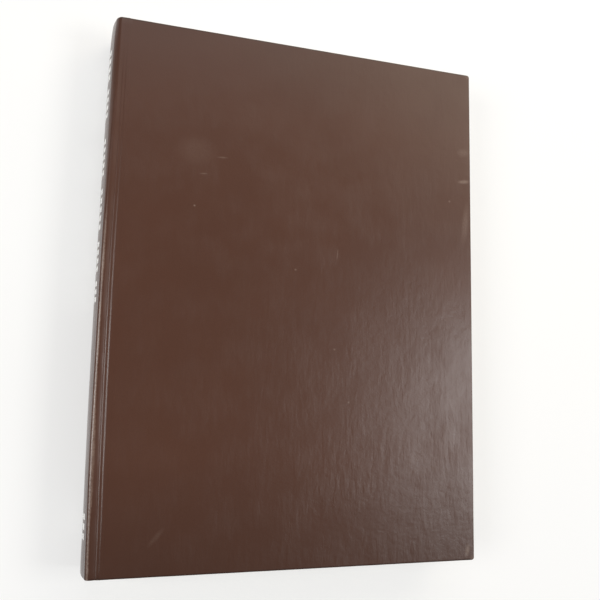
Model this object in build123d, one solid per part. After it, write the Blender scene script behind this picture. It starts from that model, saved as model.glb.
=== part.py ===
# A case-bound hardcover book, closed and lying on its back cover.
#
# +X runs from the spine to the fore-edge, +Y from the tail to the head, +Z from the back cover to the front.
# The origin is the middle of the footprint, on the surface that the book lies on.
#
# Every section is drawn in the XZ plane with x = 0 at the spine edge of the boards and z = 0 at the back
# cover's outer face. centred() then moves each finished piece to the origin. The book is the same on both
# sides of its mid-plane, so each back piece is the mirror image of its front piece.

from build123d import *
import math
import os

# Text block: the trimmed leaves
page_height = 276.0
block_thickness = 23.0
endpaper = 0.2

# Case: boards and their leatherette
cover_width = 201.4
board_thickness = 2.5
board_corner = 1.2
leatherette = 0.35
turn_in = 15.0
mitre_slit = 0.25
square = 3.0
edge_radius = 0.6
air_gap = 0.1

# Rounded spine
spine_reach = 8.2
ridge_drop = 0.2
inlay_thickness = 0.7
hollow_gap = 0.5
liner_thickness = 0.2

# French groove: a tight channel beside the board, then a straight rise to the spine's ridge
groove_radius = 1.3
slope_angle = 32.0
inlay_clear = 105.0

# Gauze that ties the text block to the boards
mull_thickness = 0.15
mull_flange = 25.0
mull_margin = 14.0
mull_flap = 1.0

# Headbands
bead_radius = 1.1
bead_inset = 0.8
bead_shoulder_gap = 1.2
band_tape = 12.0

# Hinge lines of the two covers
hinge_inset = 4.2

# Heights, from the back cover's outer face
cover_stack = leatherette + board_thickness + leatherette + endpaper + air_gap
total_thickness = 2 * (cover_stack + endpaper) + block_thickness
middle = total_thickness / 2
board_outer = total_thickness - leatherette
board_inner = board_outer - board_thickness
flyleaf_face = total_thickness - cover_stack
block_top = flyleaf_face - endpaper
block_bottom = total_thickness - block_top
hinge_height = flyleaf_face + air_gap / 2

# Lengths, either side of the middle of the height
half_page = page_height / 2
half_cover = half_page + square
half_board = half_cover - leatherette
half_inside = half_cover - turn_in
half_mull = half_page - mull_margin
fore_edge = cover_width - square
inside_width = cover_width - turn_in

# Groove: its centre is beside the board, and its layers lie on circles about that centre
groove_x = -groove_radius
groove_z = total_thickness - board_thickness + groove_radius
lining_radius = groove_radius + leatherette
turned_radius = lining_radius + leatherette
mull_radius = lining_radius + mull_thickness
flyleaf_radius = groove_z - flyleaf_face
block_radius = groove_z - block_top

# Ridge: the leatherette turns round the rounded edge of the spine inlay at the top of the slope
slope = math.radians(slope_angle)
cap_inner = inlay_thickness / 2
cap_outer = cap_inner + leatherette
ridge_radius = groove_radius + cap_outer
ridge_z = total_thickness - ridge_drop - cap_outer
slope_length = (ridge_z - groove_z + ridge_radius * math.cos(slope)) / math.sin(slope)
ridge_x = groove_x - ridge_radius * math.sin(slope) - slope_length * math.cos(slope)

# Spine arc: tangent to both ridges, and spine_reach proud of the boards
arc_offset = cap_outer - spine_reach
ridge_height = ridge_z - middle
spine_x = (arc_offset**2 - ridge_x**2 - ridge_height**2) / (2 * (arc_offset - ridge_x))
spine_radius = spine_x + spine_reach
inlay_outer = spine_radius - leatherette
inlay_inner = inlay_outer - inlay_thickness
liner_outer = inlay_inner - hollow_gap
liner_inner = liner_outer - liner_thickness
block_spine = liner_inner - mull_thickness

# Overall size and the shift to the origin
overall_width = spine_reach + cover_width
shift = spine_reach - overall_width / 2


def centred(piece):
    """The piece in the part's own frame, with the origin under the middle of the book."""
    return Pos(shift, 0, 0) * piece


def mirrored(piece):
    """The same piece on the back of the book."""
    return mirror(piece, about=Plane.XY.offset(middle))


def both_joints(section):
    """A section at the front joint together with its mirror image at the back joint."""
    return section + mirror(section, about=Plane.XZ.offset(-middle))


def prism(section, half_length):
    """A section of the XZ plane, drawn out equally to head and tail."""
    return extrude(Plane.XZ * section, half_length, both=True)


def ends(section, start, stop):
    """Two short prisms of a section of the XZ plane, one near the head and one near the tail."""
    head = extrude(Plane.XZ.offset(-stop) * section, stop - start)
    return head + mirror(head, about=Plane.XZ)


def slab(x0, x1, z0, z1, half_length):
    """A flat sheet between two places in x and in z, drawn out equally to head and tail."""
    return Pos((x0 + x1) / 2, 0, (z0 + z1) / 2) * Box(x1 - x0, 2 * half_length, z1 - z0)


def patch(x0, x1, z0, z1):
    """A rectangle of a section."""
    return Pos((x0 + x1) / 2, (z0 + z1) / 2) * Rectangle(x1 - x0, z1 - z0)


def disc(x, z, radius):
    """A disc of a section."""
    return Pos(x, z) * Circle(radius)


def ring(x, z, inner, outer):
    """A ring of a section."""
    return disc(x, z, outer) - disc(x, z, inner)


def wedge(x, z, start, end, reach):
    """The part of a section between two directions from a point, at most half a turn apart."""
    corners = [(x, z)]
    sides = 3
    for side in range(sides + 1):
        angle = math.radians(start + (end - start) * side / sides)
        corners.append((x + reach * math.cos(angle), z + reach * math.sin(angle)))
    return make_face(Polyline(*corners, close=True))


def up_slope(radius, distance):
    """A place in the front joint: a radius from the groove's centre, and a distance up the slope."""
    x = groove_x - radius * math.sin(slope) - distance * math.cos(slope)
    z = groove_z - radius * math.cos(slope) + distance * math.sin(slope)
    return x, z


def slope_strip(inner, outer, length):
    """The straight part of a layer of the front joint."""
    corners = [up_slope(inner, 0), up_slope(outer, 0), up_slope(outer, length), up_slope(inner, length)]
    return make_face(Polyline(*corners, close=True))


def groove_channel(inner, outer, start, end):
    """The curved part of a layer of the front joint, between two directions from the groove's centre."""
    return ring(groove_x, groove_z, inner, outer) & wedge(groove_x, groove_z, start, end, 3 * outer)


def groove_layer(inner, outer, length):
    """A layer of the front joint, from the groove's floor to a distance up the slope."""
    return groove_channel(inner, outer, DOWN - slope_angle, DOWN) + slope_strip(inner, outer, length)


def groove_lining(inner, outer, length):
    """A layer under the front joint, from the board's edge to a distance up the slope."""
    flat = patch(groove_x, leatherette, groove_z - outer, groove_z - inner)
    return groove_layer(inner, outer, length) + flat


def spine_band(inner, outer, half_angle):
    """A layer of the rounded spine, between two radii, either side of the mid-plane."""
    mask = wedge(spine_x, middle, 180 - half_angle, 180 + half_angle, 2 * outer)
    return ring(spine_x, middle, inner, outer) & mask


def spine_half_angle(x, z):
    """How far round the spine a point lies from the mid-plane, in degrees."""
    return math.degrees(math.atan2(z - middle, spine_x - x))


def length_to_spine(radius, spine_arc):
    """How far up the slope a layer of the joint runs before it meets an arc of the spine."""
    start_x, start_z = up_slope(radius, 0)
    away_x = start_x - spine_x
    away_z = start_z - middle
    along = away_z * math.sin(slope) - away_x * math.cos(slope)
    return math.sqrt(along**2 - away_x**2 - away_z**2 + spine_arc**2) - along


# Directions in a section, in degrees
DOWN = -90.0
OFF_SLOPE = 90.0 - slope_angle

# The block's shoulder is where its slope meets its rounded spine
shoulder_length = length_to_spine(block_radius, block_spine)
shoulder_half_angle = spine_half_angle(*up_slope(block_radius, shoulder_length))
ridge_half_angle = spine_half_angle(ridge_x, ridge_z)


def text_block():
    """The leaves as one solid: round spine with shoulders, flat sides and a hollow fore-edge."""
    flat = patch(groove_x, fore_edge, block_bottom, block_top)
    rounded = disc(spine_x, middle, block_spine) & patch(-spine_reach, groove_x, 0, total_thickness)
    over_shoulder = disc(groove_x, groove_z, block_radius) + slope_strip(-middle, block_radius, middle)
    rounded -= both_joints(over_shoulder)
    hollow = block_spine - math.sqrt(block_spine**2 - (block_thickness / 2) ** 2)
    section = flat + rounded - disc(fore_edge - hollow + block_spine, middle, block_spine)
    return prism(section, half_page)


def flyleaf():
    """The free half of the front endpaper, which lies on the block and follows its shoulder."""
    section = groove_layer(flyleaf_radius, block_radius, shoulder_length)
    section += patch(groove_x, fore_edge, block_top, flyleaf_face)
    return prism(section, half_page)


def shoulder_fold(outer_face, inner_face):
    """Half a turn of a sheet over the block's shoulder, from a layer of the groove on to the block."""
    centre = (max(outer_face, turned_radius) + block_radius) / 2
    x, z = up_slope(centre, shoulder_length)
    far_half = wedge(x, z, OFF_SLOPE, OFF_SLOPE + 180, 3 * (centre - outer_face))
    return ring(x, z, centre - inner_face, centre - outer_face) & far_half


def joint_endpaper():
    """The strip of endpaper that crosses the joint, below the level of the turn-ins."""
    section = groove_lining(turned_radius, turned_radius + endpaper, shoulder_length)
    section += shoulder_fold(turned_radius, turned_radius + endpaper)
    return prism(section, half_page)


def spine_mull():
    """The gauze on the block's rounded spine."""
    return prism(spine_band(block_spine, liner_inner, shoulder_half_angle), half_mull)


def joint_mull():
    """The gauze where it crosses the joint, turned over the block's shoulder."""
    section = groove_lining(lining_radius, mull_radius, shoulder_length)
    section += shoulder_fold(lining_radius, mull_radius)
    section -= spine_band(block_spine - mull_flap, liner_outer, shoulder_half_angle)
    return prism(section, half_mull)


def spine_liner():
    """The kraft paper over the gauze."""
    return prism(spine_band(liner_inner, liner_outer, shoulder_half_angle), half_mull)


def headband():
    """A bead on a cloth tape, glued to the top of the block's spine."""
    bead_arc = shoulder_half_angle - math.degrees(bead_shoulder_gap / block_spine)
    path = block_spine - bead_inset
    axis = Axis((spine_x, 0, middle), (0, 1, 0))
    cross_section = Pos(spine_x - path, half_page + bead_radius, middle) * Circle(bead_radius)
    bead = revolve(cross_section, axis, 2 * bead_arc).rotate(axis, -bead_arc)
    tape = spine_band(block_spine, liner_outer, bead_arc)
    top = half_page + bead_radius
    return bead + extrude(Plane.XZ.offset(-top) * tape, bead_radius + band_tape)


def inlay_section(skin):
    """The curved card of the spine, thickened by a skin all round, with round edges at the ridges."""
    section = spine_band(inlay_inner - skin, inlay_outer + skin, ridge_half_angle)
    return section + both_joints(disc(ridge_x, ridge_z, cap_inner + skin))


def spine_inlay():
    """The card that stiffens the case's spine."""
    return prism(inlay_section(0), half_board)


def spine_leatherette():
    """The cover material on the spine, from ridge to ridge, turned in behind the inlay at head and tail."""
    joint_room = wedge(ridge_x, ridge_z, OFF_SLOPE - inlay_clear, OFF_SLOPE, 3 * cap_outer)
    section = inlay_section(leatherette) - both_joints(joint_room)
    skin = prism(section, half_cover) - prism(inlay_section(0), half_board)
    behind = section & disc(spine_x, middle, inlay_inner)
    return skin - prism(behind, half_inside)


def joint_leatherette():
    """The cover material in the groove, from the ridge to the board's edge, turned in at head and tail."""
    section = groove_layer(groove_radius, lining_radius, slope_length)
    section += groove_channel(groove_radius, lining_radius, DOWN, 0)
    turned = groove_lining(lining_radius, turned_radius, slope_length) - inlay_section(leatherette)
    return prism(section, half_cover) + ends(turned, half_inside, half_cover)


def cover_blank(skin, radius, corner):
    """The board as a plate with rounded edges, thickened by a skin on every side."""
    low = board_inner - skin
    high = board_outer + skin
    plate = slab(leatherette - skin, cover_width - leatherette + skin, low, high, half_board + skin)
    uprights = plate.edges().filter_by(Axis.Z).sort_by(Axis.X)[-2:]
    plate = fillet(uprights, corner + skin)
    levels = plate.faces().sort_by(Axis.Z)
    return fillet(levels[0].edges() + levels[-1].edges(), radius)


def board():
    """One board of the case, cut square, with its arrises eased."""
    return cover_blank(0, edge_radius - leatherette, board_corner)


def turn_in_window():
    """What the turn-ins leave open on the inside of a board."""
    return slab(-cover_width, inside_width, board_inner - leatherette, board_inner, half_inside)


def cover_leatherette():
    """The cover material on one board, turned in over three edges, with mitred corners."""
    skin = cover_blank(leatherette, edge_radius, board_corner) - board()
    skin -= turn_in_window()
    skin -= slab(-leatherette, leatherette, 0, groove_z, half_cover)
    for side in (1, -1):
        place = Pos(inside_width + turn_in / 2, side * (half_inside + turn_in / 2), board_inner - leatherette / 2)
        skin -= place * Rot(0, 0, side * 45) * Box(2 * turn_in, mitre_slit, leatherette)
    return skin


def mull_flange_piece():
    """The gauze on the inside of a board, under the pastedown."""
    return slab(leatherette, leatherette + mull_flange, board_inner - mull_thickness, board_inner, half_mull)


def pastedown():
    """The glued half of an endpaper. It steps down over the turn-ins and over the gauze."""
    face = board_inner - endpaper
    low_face = face - leatherette
    mull_face = face - mull_thickness
    sheet = slab(leatherette, fore_edge, low_face, board_inner, half_page)
    sheet -= slab(leatherette + endpaper, inside_width - endpaper, low_face, face, half_inside - endpaper)
    mull_end = leatherette + mull_flange + endpaper
    sheet += slab(leatherette, mull_end, mull_face, board_inner, half_mull + endpaper)
    turned = slab(leatherette, cover_width, board_inner - leatherette, board_inner, half_cover)
    sheet -= turned - turn_in_window()
    return sheet - mull_flange_piece()


single = {
    "text_block": text_block(),
    "spine_mull": spine_mull(),
    "spine_liner": spine_liner(),
    "headband": headband(),
    "tailband": mirror(headband(), about=Plane.XZ),
    "spine_inlay": spine_inlay(),
    "spine_leatherette": spine_leatherette(),
}
paired = {
    "board": board(),
    "leatherette": cover_leatherette(),
    "pastedown": pastedown(),
    "flyleaf": flyleaf(),
    "mull_flange": mull_flange_piece(),
    "joint_leatherette": joint_leatherette(),
    "joint_mull": joint_mull(),
    "joint_endpaper": joint_endpaper(),
}

os.makedirs("parts", exist_ok=True)
for name, piece in single.items():
    export_step(centred(piece), f"parts/{name}.step")
for name, piece in paired.items():
    export_step(centred(piece), f"parts/front_{name}.step")
    export_step(centred(mirrored(piece)), f"parts/back_{name}.step")

print("overall", overall_width, 2 * half_cover, total_thickness)
print("hinge x", shift - hinge_inset, "z", hinge_height, total_thickness - hinge_height)
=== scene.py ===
import math
from functools import partial

import bmesh
import bpy
from mathutils import Matrix, Vector, noise


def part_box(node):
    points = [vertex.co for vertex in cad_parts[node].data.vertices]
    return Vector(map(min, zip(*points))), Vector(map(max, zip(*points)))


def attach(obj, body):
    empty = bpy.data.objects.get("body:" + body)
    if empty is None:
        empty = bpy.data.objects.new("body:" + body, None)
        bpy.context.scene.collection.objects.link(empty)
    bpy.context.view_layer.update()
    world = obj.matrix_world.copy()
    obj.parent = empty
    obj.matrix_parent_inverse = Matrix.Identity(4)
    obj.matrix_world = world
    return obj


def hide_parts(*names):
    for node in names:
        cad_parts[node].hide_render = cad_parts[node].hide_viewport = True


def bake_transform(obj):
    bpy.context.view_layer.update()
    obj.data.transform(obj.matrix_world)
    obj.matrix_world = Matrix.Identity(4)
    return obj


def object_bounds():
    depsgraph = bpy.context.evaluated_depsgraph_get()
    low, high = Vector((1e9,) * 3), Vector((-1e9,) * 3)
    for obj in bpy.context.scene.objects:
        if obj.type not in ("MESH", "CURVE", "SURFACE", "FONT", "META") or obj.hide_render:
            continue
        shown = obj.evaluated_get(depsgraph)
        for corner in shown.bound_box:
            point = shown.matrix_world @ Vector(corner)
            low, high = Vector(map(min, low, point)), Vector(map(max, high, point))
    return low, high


bl_info = {
    "name": "Hardcover Book Finish",
    "version": (1, 0, 0),
    "blender": (4, 5, 0),
    "location": "View3D > Sidebar > Book",
    "description": "Dresses a case-bound book: covers, spine, endpapers, leaves, headbands and a plain stage",
    "category": "Object",
}

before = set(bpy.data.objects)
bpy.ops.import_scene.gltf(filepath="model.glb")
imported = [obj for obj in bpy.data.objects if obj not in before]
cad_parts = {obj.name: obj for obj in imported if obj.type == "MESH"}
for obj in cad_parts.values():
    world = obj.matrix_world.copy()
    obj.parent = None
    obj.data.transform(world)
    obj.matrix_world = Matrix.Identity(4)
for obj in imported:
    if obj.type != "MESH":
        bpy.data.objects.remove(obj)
BOX_AT_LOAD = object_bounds()

# Sizes of the part in millimetres. Sections have x = 0 at the spine edge of the boards, as in the CAD.
MM = 0.001
EDGE_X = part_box("front_leatherette")[0][0] / MM
THICKNESS = BOX_AT_LOAD[1][2] / MM
HALF_COVER = BOX_AT_LOAD[1][1] / MM
COVER_WIDTH = BOX_AT_LOAD[1][0] / MM - EDGE_X
MIDDLE = THICKNESS / 2
HALF_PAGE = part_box("text_block")[1][1] / MM
BLOCK_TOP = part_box("front_flyleaf")[0][2] / MM
SHEET = 0.35
CARD = 0.7
HOLLOW = 0.5
LINER = 0.2
GAUZE = 0.15
TURN_IN = 15.0
BOARD = 2.5
SQUARE = 3.0

# The French groove and the ridge of the spine, which lies a little below the face of the cover
GROOVE = 1.3
GROOVE_X = -GROOVE
GROOVE_Z = THICKNESS - BOARD + GROOVE
SLOPE = math.radians(32)
RIDGE = CARD / 2 + SHEET
RIDGE_DROP = 0.2
RIDGE_Z = THICKNESS - RIDGE_DROP - RIDGE
SLOPE_LENGTH = (RIDGE_Z - GROOVE_Z + (GROOVE + RIDGE) * math.cos(SLOPE)) / math.sin(SLOPE)
RIDGE_X = GROOVE_X - (GROOVE + RIDGE) * math.sin(SLOPE) - SLOPE_LENGTH * math.cos(SLOPE)

# The rounded spine
REACH = EDGE_X - BOX_AT_LOAD[0][0] / MM
SPINE_X = ((RIDGE - REACH) ** 2 - RIDGE_X**2 - (RIDGE_Z - MIDDLE) ** 2) / (2 * (RIDGE - REACH - RIDGE_X))
SPINE_R = SPINE_X + REACH
BLOCK_R = SPINE_R - SHEET - CARD - HOLLOW - LINER - GAUZE

# The ridge and the joint as the covering lies over them: softer than the card and the groove below it
CAP = 2.4
CAP_Z = THICKNESS - RIDGE_DROP - CAP
CAP_X = SPINE_X - math.sqrt((SPINE_R - CAP) ** 2 - (CAP_Z - MIDDLE) ** 2)
CAP_ANGLE = math.atan2(CAP_Z - MIDDLE, SPINE_X - CAP_X)
# The face of the board's covering as drawn, a little below the CAD's
COVER_FACE = THICKNESS - 0.035
# Where the joint's covering laps the board's: its start and end, its thickness, its rise over the board's,
# and how far it stops short of the head and tail
LAP_START = 0.3
LAP_END = 2.3
LAP = 0.16
LAP_RISE = 0.03
LAP_SHORT = 0.5

# Steps along the section of the covering: half of the spine, the ridge, the joint, the lap
SPINE_STEPS = 26
RIDGE_STEPS = 14
JOINT_STEPS = 45
LAP_STEPS = 4
# Points along the height of the covering: its face, the pocket for the card, a turn-in, the turn over an end
FACE_POINTS = 81
POCKET_POINTS = 33
TURN_IN_POINTS = 5
END_POINTS = 8
# The turn over an end: its radius where the covering is thick, and what lies between it and the pocket
END_RADIUS = 0.7
POCKET_INSET = 0.15
# The card in its pocket: the gap on each face, how far it stops short of the ends, how many steps of the
# ridge it reaches into, how much thinner it is there on each face, and points along its height
CARD_GAP = 0.01
CARD_SHORT = 0.95
CARD_REACH = 4
CARD_TAPER = 0.12
CARD_POINTS = 41
# How far inside a cover's edges the cuts start that let its covering be uneven
CUT_MARGIN = 4.0

# How far the covering drops below a straight bridge over the joint, from the ridge to the board
JOINT_DROP = ((-4.25, 0.0), (-4.05, 0.04), (-3.8, 0.11), (-3.4, 0.23), (-2.95, 0.365), (-2.75, 0.42),
              (-2.6, 0.44), (-2.4, 0.41), (-2.1, 0.26), (-1.85, 0.21), (-1.5, 0.25), (-1.2, 0.31),
              (-0.95, 0.29), (-0.5, 0.1), (-0.15, 0.02), (0.2, 0.0), (3.0, 0.0))
# Along the height: shift of the spine, shift of the ridge, shift of the joint's lines, share of the drop
SPINE_SHIFT = ((-141, 0.6), (-134, 0.4), (-117, 0.35), (-85, -0.05), (-43, -0.3), (17, -0.25), (68, 0.05),
               (111, 0.35), (125, 0.5), (134, 0.8), (141, 1.3))
RIDGE_SHIFT = ((-141, 0.2), (-117, -0.3), (-85, -0.85), (-43, -0.75), (17, -0.5), (68, 0.4), (111, 1.4),
               (125, 1.5), (141, 1.6))
JOINT_SHIFT = ((-141, 1.2), (-117, 0.9), (-85, 0.35), (-43, 0.0), (17, 0.0), (68, 0.7), (111, 1.0),
               (125, 1.1), (141, 1.2))
JOINT_DEPTH = ((-141, 0.85), (-117, 0.8), (-85, 1.0), (-43, 1.05), (17, 1.0), (68, 0.62), (111, 0.32),
               (125, 0.12), (141, 0.05))
# The most that the inside of the spine may move in before it touches the lining
INSIDE_SHIFT = 0.3

# Stamped groups on the spine: middle along the height, length. Each is a row of dashes over plain rows.
STAMPS = ((117.0, 18.0), (96.0, 17.0), (67.0, 21.0), (39.5, 23.0), (15.0, 17.0), (-3.0, 12.0), (-117.5, 14.0))
STAMP_ROWS = 2
STAMP_GAP = 1.4
DASH_PITCH = 4.6
DASH_SHARE = 0.62
FOIL = 0.06
# Points along a bar, along a dash and across either, enough to follow the spine
BAR_CUTS = 30
DASH_CUTS = 6
PLATE_CUTS = 9

# Leaves: how far the fan at the shoulders stretches the arc of their edges, the length of the bend up to a
# shoulder, the room over and under the stack, the share of a pack's pitch that is paper, points across a
# leaf, and the seed of the strays
LEAF_FAN = 1.155
LEAF_BEND = 1.0
STACK_ROOM = 0.04
PACK_SHARE = 0.96
LEAF_CUTS = 22
SEED = 7

# Headbands: radius of the bead, its inset from the block's spine and from the tape's edges, then the radius
# that the thread takes round the bead, the share of the arc that it covers, and its own radius by its width
BEAD = 1.1
BEAD_INSET = 0.8
BEAD_MARGIN = 0.33
THREAD_PATH = 1.08
THREAD_SPAN = 0.985
THREAD_SHARE = 0.45

# Marks of use on the front cover: place from the spine edge and the middle, half length, half width, turn,
# strength
MARKS = ((38.4, 73.8, 13.0, 9.0, 0, 0.14), (52.3, 71.7, 3.4, 0.6, 3, 0.6), (42.6, 61.8, 2.4, 0.5, 5, 0.6),
         (38.5, 44.2, 0.8, 0.7, 0, 0.9), (187.4, 61.5, 0.9, 0.8, 0, 0.9), (94.2, 14.4, 0.8, 0.7, 0, 0.8),
         (117.1, -27.7, 0.8, 0.7, 0, 0.8), (125.6, -55.9, 0.7, 0.7, 0, 0.8), (118.1, 24.5, 3.5, 0.4, 85, 0.7),
         (196.9, 74.3, 4.6, 1.5, 8, 1.0), (197.6, 49.0, 14.0, 2.6, 84, 0.5),
         (196.9, 92.0, 5.0, 3.0, 10, 0.35), (26.2, -122.4, 6.5, 1.6, 50, 0.18),
         (197.1, -135.7, 4.5, 1.8, 80, 0.7))
# How deep a mark reaches below the face of the cover
MARK_DEPTH = 2.0
# Period of the wave texture at a scale of 1
WAVE_PERIOD = 0.31

# The stage in metres: how far the floor lies below the book, the camera's place, its view and its upward side
FLOOR_DROP = 0.00002
CAMERA_PLACE = (-0.11502, -0.05245, 0.39712)
CAMERA_VIEW = (0.29779, 0.13025, -0.94570)
CAMERA_UP = (-0.05862, 0.99127, 0.11806)
# Lights: name, turn from +X, angle above the floor, distance, side, watts, colour
LIGHTS = (
    ("window", -6, 51, 1.45, 0.5, 6.9, "#FFFFFF"),
    ("corner_light", 50, 35, 1.1, 0.7, 4.8, "#FFF3E2"),
    ("head_light", 95, 40, 1.0, 0.7, 2.4, "#FFFFFF"),
    ("side_light", 183, 42, 1.3, 0.55, 7.5, "#FFFFFF"),
)
# Strength of the even light from all round, which the camera sees as white
ROOM_LIGHT = 0.225

# The distance in metres within which two points are one, and the angle in degrees over which an edge is sharp
WELD = 0.000002
SHARP_ANGLE = 40


def in_frame(x, y, z):
    """A place given in section millimetres, in the row frame's metres."""
    return Vector(((EDGE_X + x) * MM, y * MM, z * MM))


def linear(hex_colour):
    """An sRGB hex colour as linear red, green and blue."""
    values = [int(hex_colour[i : i + 2], 16) / 255 for i in (1, 3, 5)]
    return tuple(v / 12.92 if v <= 0.04045 else ((v + 0.055) / 1.055) ** 2.4 for v in values)


def blend_step(low, high, value):
    """0 below low, 1 above high, and smooth between them."""
    t = min(1.0, max(0.0, (value - low) / (high - low)))
    return t * t * (3 - 2 * t)


def along(line, place):
    """The height of a smooth line through points in order, at a place between its ends."""
    place = min(line[-1][0], max(line[0][0], place))
    last = len(line) - 1
    k = max(i for i in range(last) if line[i][0] <= place)
    low, high = line[k], line[k + 1]
    step = high[0] - low[0]
    before = line[max(0, k - 1)]
    after = line[min(last, k + 2)]
    start = (high[1] - before[1]) / (high[0] - before[0]) * step
    end = (after[1] - low[1]) / (after[0] - low[0]) * step
    t = (place - low[0]) / step
    return ((2 * t**3 - 3 * t**2 + 1) * low[1] + (t**3 - 2 * t**2 + t) * start
            + (3 * t**2 - 2 * t**3) * high[1] + (t**3 - t**2) * end)


# Settings that a user may change


class LeatherSettings(bpy.types.PropertyGroup):
    colour: bpy.props.FloatVectorProperty(
        name="Colour", description="Ground colour of the leatherette", subtype="COLOR", size=3,
        min=0, max=1, default=linear("#503225"))
    # Also the colour of the painted highlight along the spine's ridge
    rubbed_and_highlit: bpy.props.FloatVectorProperty(
        name="Worn colour", description="Colour of rubbed edges and scuffs", subtype="COLOR", size=3,
        min=0, max=1, default=linear("#8D7A6E"))
    gloss: bpy.props.FloatProperty(
        name="Coat", description="Strength of the clear top coat", subtype="FACTOR",
        min=0, max=1, default=0.0)
    grain: bpy.props.FloatProperty(
        name="Grain", description="Distance between the pebbles of the embossed grain", unit="LENGTH",
        min=0.0002, max=0.003, default=0.0006)
    settle: bpy.props.FloatProperty(
        name="Settling", description="How far the used spine and joints have moved off their first shape",
        subtype="FACTOR", min=0, max=1, default=1.0)


class PaperSettings(bpy.types.PropertyGroup):
    endpaper: bpy.props.FloatVectorProperty(
        name="Endpaper", description="Colour of the endpapers", subtype="COLOR", size=3,
        min=0, max=1, default=linear("#E6DFD0"))
    leaf: bpy.props.FloatVectorProperty(
        name="Leaves", description="Colour of the trimmed leaves", subtype="COLOR", size=3,
        min=0, max=1, default=linear("#F0E9DA"))
    pack: bpy.props.FloatProperty(
        name="Pack", description="Thickness of one pack of leaves", unit="LENGTH",
        min=0.0001, max=0.002, default=0.00023)
    stray: bpy.props.FloatProperty(
        name="Stray", description="How far packs of leaves lie off the trimmed face", unit="LENGTH",
        min=0, max=0.001, default=0.00007)


class HeadbandSettings(bpy.types.PropertyGroup):
    colour: bpy.props.FloatVectorProperty(
        name="Thread", description="Colour of the headband's thread", subtype="COLOR", size=3,
        min=0, max=1, default=linear("#D8C8A2"))
    thread: bpy.props.FloatProperty(
        name="Thread width", description="Width of one turn of thread", unit="LENGTH",
        min=0.0001, max=0.001, default=0.00045)


class FoilSettings(bpy.types.PropertyGroup):
    colour: bpy.props.FloatVectorProperty(
        name="Foil", description="Colour of the stamped bars", subtype="COLOR", size=3,
        min=0, max=1, default=linear("#EFEEEC"))
    width: bpy.props.FloatProperty(
        name="Bar width", description="Width of one stamped bar", unit="LENGTH",
        min=0.0002, max=0.006, default=0.0048)


class StageSettings(bpy.types.PropertyGroup):
    floor: bpy.props.FloatVectorProperty(
        name="Floor", description="Colour of the floor", subtype="COLOR", size=3,
        min=0, max=1, default=linear("#F4F4F1"))
    size: bpy.props.FloatProperty(
        name="Floor size", description="Side of the square floor", unit="LENGTH", min=1, max=20, default=8)
    lens: bpy.props.FloatProperty(
        name="Lens", description="Focal length of the camera", unit="CAMERA", min=10, max=200, default=43.43)


# Node building


def set_inputs(node, *values, **named):
    """Sets a node's inputs, in their order or by name, with blanks as underscores.

    Each is a value, a socket, or a node, which gives its first output. Inputs that the node's settings hide
    aren't counted.
    """
    in_use = [socket for socket in node.inputs if socket.enabled]
    by_name = {socket.name: socket for socket in reversed(in_use)}
    given = [(in_use[place], value) for place, value in enumerate(values)]
    given += [(by_name[key.replace("_", " ")], value) for key, value in named.items()]
    for socket, value in given:
        if isinstance(value, bpy.types.Node):
            value = next(output for output in value.outputs if output.enabled)
        if isinstance(value, bpy.types.NodeSocket):
            node.id_data.links.new(value, socket)
        else:
            socket.default_value = value


def add_node(tree, kind, settings=None, *values, **named):
    """A node of this kind with its inputs. Its settings are a dictionary, its operation alone, or None."""
    node = tree.nodes.new(kind)
    if isinstance(settings, str):
        settings = {"operation": settings}
    for key, value in (settings or {}).items():
        setattr(node, key, value)
    set_inputs(node, *values, **named)
    return node


def new_material(name, rough, colour):
    """A material, its shader, the place on the piece, and add_node for its tree."""
    material = bpy.data.materials.new(name)
    material.use_nodes = True
    material.diffuse_color = (*colour, 1)
    shader = material.node_tree.nodes["Principled BSDF"]
    set_inputs(shader, Base_Color=(*colour, 1), Roughness=rough)
    add = partial(add_node, material.node_tree)
    return material, shader, add("ShaderNodeTexCoord").outputs["Object"], add


def pattern_scale(size):
    """The scale of a pattern whose grains or lines lie this many millimetres apart."""
    return 1 / (size * MM)


def mark_field(add, where, fleck):
    """How far each place lies inside a mark of use: 1 within a mark, 0 outside, with a broken outline."""
    ragged = add("ShaderNodeMapRange", None, fleck, 0.3, 0.7, 0.55, 1.15)
    field = 0.0
    for x, y, length, width, turn, strength in MARKS:
        local = add("ShaderNodeMapping", {"vector_type": "TEXTURE"}, where, in_frame(x, y, THICKNESS),
                    (0, 0, math.radians(turn)), (length * MM, width * MM, MARK_DEPTH * MM))
        far = add("ShaderNodeVectorMath", "LENGTH", local)
        near = add("ShaderNodeMapRange", None, far, 1.0, 0.3, 0.0, strength)
        field = add("ShaderNodeMath", "MAXIMUM", field, near)
    return add("ShaderNodeMath", "MULTIPLY", field, ragged)


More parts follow.
